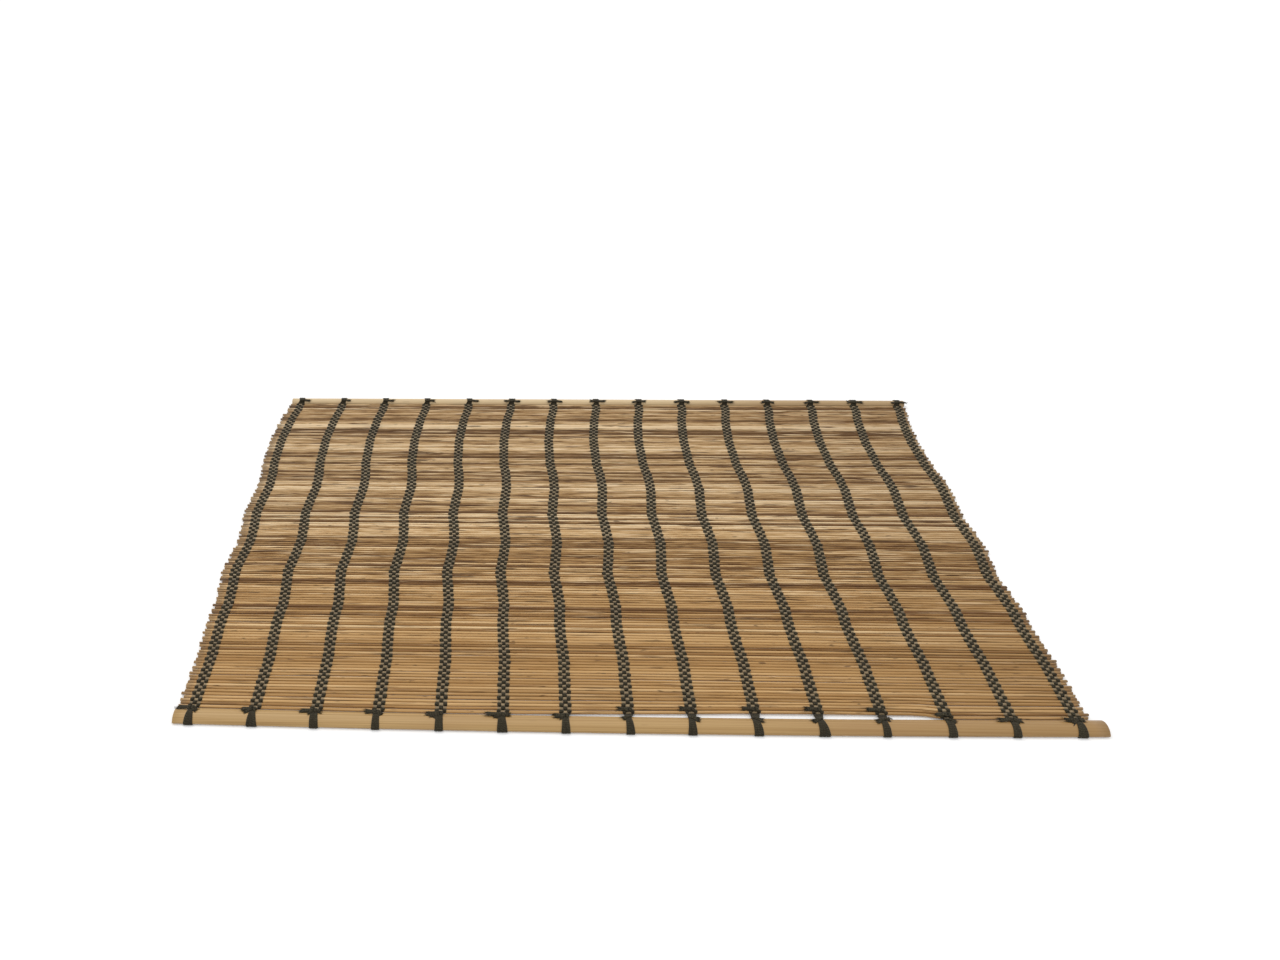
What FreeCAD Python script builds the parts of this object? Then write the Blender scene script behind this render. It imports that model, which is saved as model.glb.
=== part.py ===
import FreeCAD, Part
import os
import Sketcher

# Rolling mat: fine reeds held side by side by fifteen bands of cord, between two half-round bamboo battens.
# X runs along the reeds, -Y is the front edge, +Z is up and the mat lies on Z = 0, centred on the origin.
# The reeds are held in groups. The cords bend between two groups, so each gap between groups is a hinge line.

SIZES = {
    # reeds
    "reed_thickness": 1.5,
    "reed_gap": 0.41,
    "reed_inset": 4.0,
    "reed_ragged": 1.6,
    "reed_sides": 6,
    "reeds_per_group": 7,
    "groups": 21,
    # how far right of the battens' middle the woven field lies, and how far its groups have slipped
    "weave_offset": -2.0,
    "sideways_drift": 3.0,
    # bands of cord
    "band_count": 15,
    "band_margin": 10.1,
    "band_width": 5.6,
    "cord_thickness": 0.45,
    "hinge_room": 0.6,
    # battens
    "batten_length": 450,
    "front_batten_width": 9.5,
    "rear_batten_width": 6.0,
    "rear_batten_short": 8.0,
    "batten_height": 2.8,
    "batten_edge": 0.8,
    "batten_bow": 2.0,
    "batten_gap": 0.7,
    # cord ends: loops round the battens, their knots and tails
    "loop_width": 4.2,
    "loop_thickness": 0.45,
    "loop_clearance": 0.05,
    "loop_facets": 3,
    "knot_length": 4.6,
    "knot_width": 3.2,
    "knot_height": 2.0,
    "knot_shoulder": 0.7,
    "knot_inset": 0.3,
    "tail_length": 4.8,
    "short_tail_length": 2.6,
    "tail_width": 1.3,
    "tail_thickness": 0.6,
    "tail_slant": 1.1,
    "front_knot_offset": -2.5,
    "rear_knot_offset": 1.1,
}

# How far each group has slipped to the right, from the front one to the rear one, as shares of the drift.
DRIFT_SHARES = (
    0.17, 0.20, 0.20, 0.08, -0.06, 0.01, -0.18, -0.53, -0.25, 0.06, 0.04,
    -0.16, -0.07, 0.15, 0.32, 0.11, -0.09, -0.13, 0.08, 0.38, 0.87,
)
# How far each reed falls short at its ends, as shares of the raggedness. Both lists are read round and round.
LEFT_SHORT_SHARES = (0.1, 0.7, 0.3, 1.0, 0.0, 0.5, 0.8, 0.2, 0.6, 0.9, 0.4)
RIGHT_SHORT_SHARES = (0.6, 0.0, 0.9, 0.3, 1.0, 0.2, 0.7, 0.4, 0.8)

# Sizes that follow from the sheet's, written as expressions.
REED_LENGTH = "(sizes.batten_length - 2 * sizes.reed_inset)"
BAND_SPREAD = "(sizes.batten_length - 2 * sizes.band_margin)"
BAND_SPACING = f"({BAND_SPREAD} / (sizes.band_count - 1))"
REED_PITCH = "(sizes.reed_thickness + sizes.reed_gap)"
GROUP_DEPTH = f"(sizes.reeds_per_group * {REED_PITCH})"
FIELD_DEPTH = f"(sizes.groups * {GROUP_DEPTH})"
FRONT_WIDTH = "sizes.front_batten_width"
REAR_WIDTH = "sizes.rear_batten_width"
FIELD_FRONT = f"((sizes.batten_bow + {FRONT_WIDTH} - {REAR_WIDTH}) / 2 - {FIELD_DEPTH} / 2)"
FIELD_REAR = f"({FIELD_FRONT} + {FIELD_DEPTH})"
RUN_LENGTH = f"({GROUP_DEPTH} - 2 * sizes.hinge_room)"
REED_TOP = "(sizes.cord_thickness + sizes.reed_thickness)"
BATTEN_BASE = "(sizes.loop_clearance + sizes.loop_thickness)"
CROWN_RISE = "(sizes.batten_height - sizes.batten_edge)"
BOW_RADIUS = "(sizes.batten_length ^ 2 / (8 * sizes.batten_bow) + sizes.batten_bow / 2)"
FRONT_MIDDLE = f"({FIELD_FRONT} - sizes.batten_gap - {FRONT_WIDTH} / 2 - sizes.batten_bow)"
REAR_MIDDLE = f"({FIELD_REAR} + sizes.batten_gap + {REAR_WIDTH} / 2)"
LOOP_WALL = "(sizes.loop_clearance + sizes.loop_thickness / 2)"
DEGREES_PER_RADIAN = "(180 / pi)"

doc = FreeCAD.newDocument("rolling_mat")
sheet = doc.addObject("Spreadsheet::Sheet", "sizes")
for row, (alias, number) in enumerate(SIZES.items(), 1):
    sheet.set(f"A{row}", alias)
    sheet.set(f"B{row}", str(number))
    sheet.setAlias(f"B{row}", alias)
doc.recompute()
subparts = []


def value(expression):
    """The number that an expression over the sheet gives."""
    return float(sheet.evalExpression(expression))


def bind(thing, **expressions):
    """Binds properties to expressions over the sheet."""
    for name, expression in expressions.items():
        thing.setExpression(name, expression)


def compound(label, pieces):
    """One sub-part that holds several separate solids."""
    group = doc.addObject("Part::Compound", label)
    group.Label = label
    group.Links = pieces
    subparts.append(group)


def new_body(label):
    body = doc.addObject("PartDesign::Body", label)
    body.Label = label
    return body


def origin_feature(body, role):
    return next(feature for feature in body.Origin.OriginFeatures if feature.Role == role)


def new_sketch(body, name, role):
    sketch = body.newObject("Sketcher::SketchObject", name)
    sketch.AttachmentSupport = [(origin_feature(body, role), "")]
    sketch.MapMode = "FlatFace"
    return sketch


def constrain(sketch, kind, places, expression):
    """Adds a dimension that follows the sheet."""
    index = sketch.addConstraint(Sketcher.Constraint(kind, *places, value(expression)))
    sketch.setExpression(f"Constraints[{index}]", expression)


def outline(sketch, points):
    """A closed outline of straight lines whose corners follow the sheet."""
    corners = [FreeCAD.Vector(value(x), value(y), 0) for x, y in points]
    lines = [
        sketch.addGeometry(Part.LineSegment(corner, following), False)
        for corner, following in zip(corners, corners[1:] + corners[:1])
    ]
    for first, second in zip(lines, lines[1:] + lines[:1]):
        sketch.addConstraint(Sketcher.Constraint("Coincident", first, 2, second, 1))
    for line, (x, y) in zip(lines, points):
        constrain(sketch, "DistanceX", (-1, 1, line, 1), x)
        constrain(sketch, "DistanceY", (-1, 1, line, 1), y)


def pad(body, sketch, length, both_ways=True):
    feature = body.newObject("PartDesign::Pad", f"{sketch.Name}_pad")
    feature.Profile = sketch
    feature.SideType = "Symmetric" if both_ways else "One side"
    bind(feature, Length=length)
    return feature


# Reeds: straight splints with square-cut, ragged ends, a group to each node.
def group_front(group):
    return value(f"{FIELD_FRONT} + {group} * {GROUP_DEPTH}")


def band_place(band, offset="0"):
    return f"({offset} + ({band} - (sizes.band_count - 1) / 2) * {BAND_SPACING})"


def group_shift(group):
    return value(f"sizes.weave_offset + sizes.sideways_drift * {DRIFT_SHARES[group % len(DRIFT_SHARES)]}")


def reed(group, place):
    number = group * int(value("sizes.reeds_per_group")) + place
    left_share = LEFT_SHORT_SHARES[number % len(LEFT_SHORT_SHARES)]
    right_share = RIGHT_SHORT_SHARES[number % len(RIGHT_SHORT_SHARES)]
    splint = doc.addObject("Part::Prism", f"reed_{group + 1:02d}_{place + 1}")
    bind(
        splint,
        Polygon="sizes.reed_sides",
        Circumradius="sizes.reed_thickness / (2 * cos(180 deg / sizes.reed_sides))",
        Height=f"{REED_LENGTH} - sizes.reed_ragged * ({left_share} + {right_share})",
    )
    start = FreeCAD.Vector(
        group_shift(group) + value(f"sizes.reed_ragged * {left_share} - {REED_LENGTH} / 2"),
        group_front(group) + value(f"({place} + 1 / 2) * {REED_PITCH}"),
        value("sizes.cord_thickness + sizes.reed_thickness / 2"),
    )
    # the prism's axis is laid along X with one of its flat sides up
    flat_side_up = FreeCAD.Rotation(FreeCAD.Vector(0, 0, 1), value("180 / sizes.reed_sides"))
    along_x = FreeCAD.Rotation(FreeCAD.Vector(0, 1, 0), 90)
    splint.Placement = FreeCAD.Placement(start, along_x * flat_side_up)
    return splint


# Cords: in each group every band is a run over the reeds and a run under them, clear of the hinge lines.
def cord_run(group, band, layer, height):
    run = doc.addObject("Part::Box", f"{layer}_run_{group + 1:02d}_{band + 1:02d}")
    bind(run, Length="sizes.band_width", Width=RUN_LENGTH, Height="sizes.cord_thickness")
    run.Placement.Base = FreeCAD.Vector(
        group_shift(group) + value(f"{band_place(band)} - sizes.band_width / 2"),
        group_front(group) + value("sizes.hinge_room"),
        height,
    )
    return run


for group in range(int(value("sizes.groups"))):
    reeds = [reed(group, place) for place in range(int(value("sizes.reeds_per_group")))]
    compound(f"reeds_{group + 1:02d}", reeds)
    runs = []
    for band in range(int(value("sizes.band_count"))):
        runs.append(cord_run(group, band, "lower", 0))
        runs.append(cord_run(group, band, "upper", value(REED_TOP)))
    compound(f"warp_cords_{group + 1:02d}", runs)


# Battens: half-round bamboo, each as wide as its own size says.
# The front one bows forward at its middle, so it is an arc about a far centre.
def crown_radius(width):
    return f"((({width} / 2) ^ 2 + {CROWN_RISE} ^ 2) / (2 * {CROWN_RISE}))"


def crown_centre(width):
    return f"({BATTEN_BASE} + sizes.batten_height - {crown_radius(width)})"


def batten_section(sketch, middle, width):
    """A flat foot, two upright edges and a round crown."""
    low = value(BATTEN_BASE)
    left = value(f"{middle} - {width} / 2")
    right = value(f"{middle} + {width} / 2")
    shoulder = value(f"{BATTEN_BASE} + sizes.batten_edge")
    crown = FreeCAD.Vector(value(middle), value(f"{BATTEN_BASE} + sizes.batten_height"), 0)
    corners = [
        FreeCAD.Vector(left, low, 0),
        FreeCAD.Vector(right, low, 0),
        FreeCAD.Vector(right, shoulder, 0),
        FreeCAD.Vector(left, shoulder, 0),
    ]
    foot = sketch.addGeometry(Part.LineSegment(corners[0], corners[1]), False)
    side = sketch.addGeometry(Part.LineSegment(corners[1], corners[2]), False)
    arc = sketch.addGeometry(Part.Arc(corners[2], crown, corners[3]), False)
    other = sketch.addGeometry(Part.LineSegment(corners[3], corners[0]), False)
    ring = [foot, side, arc, other]
    for first, second in zip(ring, ring[1:] + ring[:1]):
        sketch.addConstraint(Sketcher.Constraint("Coincident", first, 2, second, 1))
    sketch.addConstraint(Sketcher.Constraint("Horizontal", foot))
    sketch.addConstraint(Sketcher.Constraint("Vertical", side))
    sketch.addConstraint(Sketcher.Constraint("Vertical", other))
    constrain(sketch, "DistanceX", (foot, 1, foot, 2), width)
    constrain(sketch, "DistanceX", (-1, 1, foot, 1), f"{middle} - {width} / 2")
    constrain(sketch, "DistanceY", (-1, 1, foot, 1), BATTEN_BASE)
    constrain(sketch, "Radius", (arc,), crown_radius(width))
    constrain(sketch, "DistanceX", (-1, 1, arc, 3), middle)
    constrain(sketch, "DistanceY", (-1, 1, arc, 3), crown_centre(width))


def front_batten():
    body = new_body("front_batten")
    subparts.append(body)
    section = new_sketch(body, "front_batten_section", "YZ_Plane")
    batten_section(section, f"-{BOW_RADIUS}", FRONT_WIDTH)
    bar = body.newObject("PartDesign::Revolution", "front_batten_bow")
    bar.Profile = section
    bar.ReferenceAxis = (section, ["V_Axis"])
    bar.Midplane = True
    bind(bar, Angle=f"sizes.batten_length / {BOW_RADIUS} * {DEGREES_PER_RADIAN}")
    body.Placement.Base.y = value(f"{FRONT_MIDDLE} + {BOW_RADIUS}")


def rear_batten():
    body = new_body("rear_batten")
    subparts.append(body)
    section = new_sketch(body, "rear_batten_section", "YZ_Plane")
    batten_section(section, "0", REAR_WIDTH)
    pad(body, section, "sizes.batten_length - sizes.rear_batten_short")
    body.Placement.Base.y = value(REAR_MIDDLE)


# Cord ends: a loop round the batten, with a knot on its inner shoulder and two tails along the batten.
# A neck of cord joins each loop to the hinge line at the edge of the reeds.
def knot_middle(middle, width):
    return f"({middle} + {width} / 2 - sizes.knot_inset - sizes.knot_width / 2)"


def tail(sketch, inner, side, length):
    """One tail's outline, from inside the knot, whose middle line is given, to its cut end."""
    root = f"{side} * sizes.knot_length / 4"
    tip = f"{side} * (sizes.knot_length / 2 + {length})"
    corners = [
        (root, f"{inner} - sizes.tail_width / 2"),
        (tip, f"{inner} - sizes.tail_width / 2 - sizes.tail_slant"),
        (tip, f"{inner} + sizes.tail_width / 2 - sizes.tail_slant"),
        (root, f"{inner} + sizes.tail_width / 2"),
    ]
    outline(sketch, corners)


def round_batten(middle, width, room):
    """Corners of a faceted outline round a batten, clear of it by the room given."""
    half_width = f"({width} / 2 + {room})"
    radius = f"({crown_radius(width)} + {room})"
    spread = f"asin({half_width} / {radius})"
    reach = f"({radius} / cos({spread} / sizes.loop_facets))"
    lean = f"asin({half_width} / {reach})"
    corners = [
        (f"{middle} - {half_width}", f"{BATTEN_BASE} - {room}"),
        (f"{middle} + {half_width}", f"{BATTEN_BASE} - {room}"),
    ]
    for corner in range(int(value("sizes.loop_facets")) + 1):
        turn = f"({lean} * (1 - 2 * {corner} / sizes.loop_facets))"
        corners.append((f"{middle} + {reach} * sin({turn})", f"{crown_centre(width)} + {reach} * cos({turn})"))
    return corners


def knot_outline(centre):
    """Corners of a knot's lump, from its foot inside the loop to its bevelled top."""
    foot = f"({BATTEN_BASE} + sizes.batten_edge)"
    top = f"({foot} + {CROWN_RISE} / 2 + sizes.knot_height)"
    return [
        (f"{centre} - sizes.knot_width / 2", foot),
        (f"{centre} + sizes.knot_width / 2", foot),
        (f"{centre} + sizes.knot_width / 2", f"{top} - sizes.knot_shoulder"),
        (f"{centre} + sizes.knot_width / 2 - sizes.knot_shoulder", top),
        (f"{centre} - sizes.knot_width / 2 + sizes.knot_shoulder", top),
        (f"{centre} - sizes.knot_width / 2", f"{top} - sizes.knot_shoulder"),
    ]


def knotted_loop(body, middle, width):
    """The first cord end of a row, on a batten whose middle line is at the given place in the body."""
    name = body.Label
    inner = knot_middle(middle, width)
    loop = new_sketch(body, f"{name}_strap", "YZ_Plane")
    outline(loop, round_batten(middle, width, BATTEN_BASE))
    pad(body, loop, "sizes.loop_width")
    knot = new_sketch(body, f"{name}_knot", "YZ_Plane")
    outline(knot, knot_outline(inner))
    pad(body, knot, "sizes.knot_length")
    tails = new_sketch(body, f"{name}_tails", "XY_Plane")
    tails_height = f"{BATTEN_BASE} + sizes.batten_height + 2 * sizes.loop_clearance"
    tails.setExpression(".AttachmentOffset.Base.z", tails_height)
    tail(tails, inner, -1, "sizes.tail_length")
    tail(tails, inner, 1, "sizes.short_tail_length")
    pad(body, tails, "sizes.tail_thickness", both_ways=False)
    room = new_sketch(body, f"{name}_room", "YZ_Plane")
    outline(room, round_batten(middle, width, "sizes.loop_clearance"))
    hole = body.newObject("PartDesign::Pocket", f"{name}_hole")
    hole.Profile = room
    hole.SideType = "Symmetric"
    bind(hole, Length="sizes.knot_length + 2 * sizes.tail_length + 2 * sizes.tail_width")


def row_of(body, pattern):
    """Repeats the first cord end once for each band."""
    pattern.Originals = [feature for feature in body.Group if hasattr(feature, "Profile")]
    bind(pattern, Occurrences="sizes.band_count")
    body.Tip = pattern


def neck(edge, band, across, start, stop):
    """The cord between a loop's wall and the hinge line, level with the middle of the reeds."""
    strip = doc.addObject("Part::Box", f"{edge}_neck_{band + 1:02d}")
    bind(strip, Length="sizes.loop_width", Width=f"{stop} - {start}", Height="sizes.cord_thickness")
    strip.Placement.Base = FreeCAD.Vector(
        value(f"{across} - sizes.loop_width / 2"),
        value(start),
        value("sizes.reed_thickness / 2 + sizes.cord_thickness / 2"),
    )
    return strip


def join(label, pieces):
    """One sub-part fused from a row of loops and their necks."""
    joined = doc.addObject("Part::MultiFuse", label)
    joined.Label = label
    joined.Shapes = pieces
    subparts.append(joined)


def front_knots():
    body = new_body("front_loops")
    knotted_loop(body, f"-{BOW_RADIUS}", FRONT_WIDTH)
    row = body.newObject("PartDesign::PolarPattern", "front_loop_row")
    row.Axis = (origin_feature(body, "Z_Axis"), [""])
    bind(row, Angle=f"{BAND_SPREAD} / {BOW_RADIUS} * {DEGREES_PER_RADIAN}")
    row_of(body, row)
    first = value(f"{band_place(0, 'sizes.front_knot_offset')} / {BOW_RADIUS} * {DEGREES_PER_RADIAN}")
    body.Placement = FreeCAD.Placement(
        FreeCAD.Vector(0, value(f"{FRONT_MIDDLE} + {BOW_RADIUS}"), 0),
        FreeCAD.Rotation(FreeCAD.Vector(0, 0, 1), first),
    )
    necks = []
    for band in range(int(value("sizes.band_count"))):
        across = band_place(band, "sizes.front_knot_offset")
        line = f"({FRONT_MIDDLE} + {BOW_RADIUS} - sqrt({BOW_RADIUS} ^ 2 - {across} ^ 2))"
        necks.append(neck("front", band, across, f"({line} + {FRONT_WIDTH} / 2 + {LOOP_WALL})", FIELD_FRONT))
    join("front_knots", [body] + necks)


def rear_knots():
    body = new_body("rear_loops")
    knotted_loop(body, "0", REAR_WIDTH)
    row = body.newObject("PartDesign::LinearPattern", "rear_loop_row")
    row.Direction = (origin_feature(body, "X_Axis"), [""])
    bind(row, Length=BAND_SPREAD)
    row_of(body, row)
    first = value(f"sizes.rear_knot_offset + {BAND_SPREAD} / 2")
    half_turn = FreeCAD.Rotation(FreeCAD.Vector(0, 0, 1), 180)
    body.Placement = FreeCAD.Placement(FreeCAD.Vector(first, value(REAR_MIDDLE), 0), half_turn)
    wall = f"({REAR_MIDDLE} - {REAR_WIDTH} / 2 - {LOOP_WALL})"
    necks = []
    for band in range(int(value("sizes.band_count"))):
        across = band_place(band, "sizes.rear_knot_offset")
        necks.append(neck("rear", band, across, FIELD_REAR, wall))
    join("rear_knots", [body] + necks)


front_batten()
rear_batten()
front_knots()
rear_knots()
doc.recompute()

failed = [thing.Label for thing in doc.Objects if {"Invalid", "Error"} & set(thing.State)]
empty = [part.Label for part in subparts if part.Shape.isNull() or not part.Shape.isValid()]
if failed or empty:
    raise RuntimeError(f"failed: {failed}, not valid: {empty}")

os.makedirs("parts", exist_ok=True)
for part in subparts:
    part.Shape.exportStep(f"parts/{part.Label}.step")
    print(part.Label, len(part.Shape.Solids), "solids", round(part.Shape.Volume, 2), "mm3")
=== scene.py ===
import math
from collections import namedtuple

import bpy
import numpy as np
from mathutils import Matrix, Vector


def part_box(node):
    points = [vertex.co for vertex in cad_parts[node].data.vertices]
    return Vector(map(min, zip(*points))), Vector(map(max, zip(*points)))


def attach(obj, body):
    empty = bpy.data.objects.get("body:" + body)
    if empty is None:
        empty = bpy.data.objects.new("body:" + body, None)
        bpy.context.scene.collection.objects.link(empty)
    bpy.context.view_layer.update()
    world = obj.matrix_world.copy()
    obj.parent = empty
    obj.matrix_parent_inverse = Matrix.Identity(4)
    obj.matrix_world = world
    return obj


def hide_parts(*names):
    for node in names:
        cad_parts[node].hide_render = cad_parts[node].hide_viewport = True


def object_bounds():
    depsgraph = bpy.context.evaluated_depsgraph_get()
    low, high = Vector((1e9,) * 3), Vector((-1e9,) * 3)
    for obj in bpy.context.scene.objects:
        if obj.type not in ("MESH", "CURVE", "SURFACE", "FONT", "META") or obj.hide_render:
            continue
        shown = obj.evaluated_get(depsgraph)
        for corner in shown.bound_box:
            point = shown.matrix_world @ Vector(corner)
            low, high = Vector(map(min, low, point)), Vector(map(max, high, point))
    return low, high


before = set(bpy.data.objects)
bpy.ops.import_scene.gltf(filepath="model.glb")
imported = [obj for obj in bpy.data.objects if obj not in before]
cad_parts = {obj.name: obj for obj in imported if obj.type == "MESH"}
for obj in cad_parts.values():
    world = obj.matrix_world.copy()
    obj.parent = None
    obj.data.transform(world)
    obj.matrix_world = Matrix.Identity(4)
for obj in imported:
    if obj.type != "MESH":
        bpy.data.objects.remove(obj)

cad_low, cad_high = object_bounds()

# Sizes are in millimetres and angles in degrees, apart from the places and scales of textures, in metres.
# They repeat the solids' sizes where a piece replaces a solid.
MM = 0.001
GROUPS = 21
REEDS_PER_GROUP = 7
BANDS = 15
BAND_SPACING = 30.7
REED_PITCH = 1.91
REED_HALF_WIDTH = 0.92
HINGE_REED_HALF_WIDTH = 0.86
REED_HALF_HEIGHT = 0.74
YARN_HALF_WIDTH = 1.08
YARN_HALF_THICKNESS = 0.26
YARN_SPACING = 2.0
FRONT_BATTEN_WIDTH = 9.5
REAR_BATTEN_WIDTH = 6.0
BATTEN_HEIGHT = 2.8
BATTEN_EDGE = 0.8
BATTEN_BOW = 2.0
BATTEN_GAP = 0.7


# Meshes
WINDING_MAP = "along_and_around"
BAKING_MAP = "OFBake"
ROW_MARGIN = 0.04
CAP_SHARE = 0.5
CAP_RADIUS_SHARE = 0.4
MIDDLE = 0.5


class Shape:
    """Gathers tubes into one mesh with two maps.

    The first map holds the distance along and the turn around each tube. The second is for baked colours.
    It lays the tubes' skins end to end in rows, like the words of a page, so that every face gets its share.
    """

    def __init__(self):
        self.points = []
        self.faces = []
        self.maps = []
        self.skins = []
        self.tones = []
        self.besides = []
        self.count = 0
        self.laid = 0.0
        self.girth = 0.0

    def tube(self, rings, tone=MIDDLE, drift=0.0):
        """Skins rings, an array of (ring, corner, xyz), as one tube with closed ends."""
        number, sides = rings.shape[:2]
        steps = np.linalg.norm(np.diff(rings.mean(axis=1), axis=0), axis=1)
        along = np.concatenate([[0.0], np.cumsum(steps)])
        girth = np.linalg.norm(rings - np.roll(rings, 1, axis=1), axis=2).sum(axis=1).max()
        self.girth = max(self.girth, girth)
        cap = girth * CAP_SHARE
        body = self.laid + cap
        first = self.count
        last = first + (number - 1) * sides
        for ring in range(number - 1):
            low = first + ring * sides
            high = low + sides
            start, stop = along[ring], along[ring + 1]
            for corner in range(sides):
                following = (corner + 1) % sides
                self.faces.append((low + corner, low + following, high + following, high + corner))
                turn, next_turn = corner / sides, (corner + 1) / sides
                face = [(start, turn), (start, next_turn), (stop, next_turn), (stop, turn)]
                self.maps.extend(face)
                self.skins.extend((body + start, body + place, around) for place, around in face)
        self.faces.append(tuple(first + corner for corner in reversed(range(sides))))
        self.faces.append(tuple(last + corner for corner in range(sides)))
        self.maps.extend([(along[0], 0.0)] * sides + [(along[-1], 0.0)] * sides)
        self.cap_skin(self.laid, cap, ring_angles(sides)[::-1])
        self.cap_skin(body + along[-1], cap, ring_angles(sides))
        self.laid = body + along[-1] + cap
        self.points.append(rings.reshape(-1, 3))
        self.tones.append(np.full(number * sides, tone))
        self.besides.append(rings[:, :, 0].ravel() - drift)
        self.count += number * sides

    def cap_skin(self, start, length, angles):
        """A closed end as a small round patch in its own length of the row."""
        for angle in angles:
            place = start + length * (MIDDLE + CAP_RADIUS_SHARE * math.cos(angle))
            self.skins.append((start, place, MIDDLE + CAP_RADIUS_SHARE * math.sin(angle)))

    def skin_map(self):
        """The skins cut into rows, as many as make the map about as fine along the tubes as around them."""
        first, place, around = np.array(self.skins).T
        rows = math.ceil(math.sqrt(self.laid / self.girth))
        length = self.laid / rows
        row = np.floor(first / length)
        across = (place - row * length) / (length + (place - first).max())
        return np.column_stack([across, (row + ROW_MARGIN + around * (1 - 2 * ROW_MARGIN)) / rows])

    def piece(self, name, material, node, body):
        """Makes the mesh, which replaces a node and rides on its body."""
        mesh = bpy.data.meshes.new(name)
        mesh.from_pydata(np.concatenate(self.points) * MM, [], self.faces)
        mesh.polygons.foreach_set("use_smooth", np.ones(len(mesh.polygons), bool))
        for layer_name, places in ((WINDING_MAP, self.maps), (BAKING_MAP, self.skin_map())):
            layer = mesh.uv_layers.new(name=layer_name)
            layer.data.foreach_set("uv", np.array(places, np.float32).ravel())
        for kind, values in (("tone", self.tones), ("beside", self.besides)):
            attribute = mesh.attributes.new(kind, "FLOAT", "POINT")
            attribute.data.foreach_set("value", np.concatenate(values).astype(np.float32))
        mesh.materials.append(material)
        mesh.validate()
        thing = bpy.data.objects.new(name, mesh)
        bpy.context.scene.collection.objects.link(thing)
        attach(thing, body)
        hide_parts(node)


def ring_angles(sides):
    return np.arange(sides) * 2 * math.pi / sides


def swept(path, wide, half_width, half_thickness, sides):
    """Rings of oval section along a path. Wide is the direction of the section's width."""
    path = np.asarray(path, float)
    forward = np.gradient(path, axis=0)
    forward /= np.linalg.norm(forward, axis=1)[:, None]
    wide = np.broadcast_to(np.asarray(wide, float), path.shape)
    wide = wide - (wide * forward).sum(axis=1)[:, None] * forward
    wide /= np.linalg.norm(wide, axis=1)[:, None]
    thick = np.cross(forward, wide)
    angles = ring_angles(sides)
    reach = np.cos(angles)[None, :, None] * wide[:, None, :] * np.reshape(half_width, (-1, 1, 1))
    depth = np.sin(angles)[None, :, None] * thick[:, None, :] * np.reshape(half_thickness, (-1, 1, 1))
    return path[:, None, :] + reach + depth


# A gentle wave has a size and the length of its longest part.
# The peak is about what the parts of a wave reach together.
Wave = namedtuple("Wave", "size length")
WAVE_PARTS = (1.0, 2.3, 4.1)
WAVE_PEAK = 1.4


def gentle(chance, places, wave):
    """A smooth random curve over places, made of a few waves."""
    curve = np.zeros_like(places)
    for part in WAVE_PARTS:
        curve += np.sin(places * 2 * math.pi * part / wave.length + chance.uniform(0, 2 * math.pi)) / part
    return curve * wave.size / WAVE_PEAK


def curve_through(points, steps):
    """Evenly spaced points on a smooth curve through a few given ones."""
    points = np.asarray(points, float)
    lengths = np.concatenate([[0.0], np.cumsum(np.linalg.norm(np.diff(points, axis=0), axis=1))])
    slopes = np.gradient(points, lengths, axis=0)
    places = np.linspace(0.0, lengths[-1], steps)
    index = np.clip(np.searchsorted(lengths, places, side="right") - 1, 0, len(points) - 2)
    span = (lengths[index + 1] - lengths[index])[:, None]
    share = (places - lengths[index])[:, None] / span
    start = points[index] * (2 * share**3 - 3 * share**2 + 1)
    stop = points[index + 1] * (3 * share**2 - 2 * share**3)
    leaving = slopes[index] * span * (share**3 - 2 * share**2 + share)
    arriving = slopes[index + 1] * span * (share**3 - share**2)
    return start + stop + leaving + arriving


def box_of(node):
    low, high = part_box(node)
    return np.array(low) / MM, np.array(high) / MM


def points_of(node):
    return np.array([vertex.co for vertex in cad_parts[node].data.vertices]) / MM


# Materials
WHITE = (1.0, 1.0, 1.0, 1.0)
TOP_LEVEL = 255
STRAIGHT_END = 0.04045
STRAIGHT_SLOPE = 12.92
CURVE_OFFSET = 0.055
CURVE_POWER = 2.4

# A span carries a value smoothly from one range to another. A texture's scale is in waves per metre.
# A layer lays a shade over what is below it, where its texture is within or past the span's range.
Span = namedtuple("Span", "low high to_low to_high", defaults=(0.0, 1.0))
Texture = namedtuple("Texture", "scale detail rough", defaults=(0.5,))
Layer = namedtuple("Layer", "texture cover shade")
Relief = namedtuple("Relief", "strength distance")


def linear(level):
    """Linear light from an eight-bit value, by the standard curve of screens."""
    share = level / TOP_LEVEL
    if share <= STRAIGHT_END:
        return share / STRAIGHT_SLOPE
    return ((share + CURVE_OFFSET) / (1 + CURVE_OFFSET)) ** CURVE_POWER


def colour(red, green, blue):
    """Linear colour from the eight-bit values seen in a picture."""
    return (linear(red), linear(green), linear(blue), 1.0)


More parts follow.
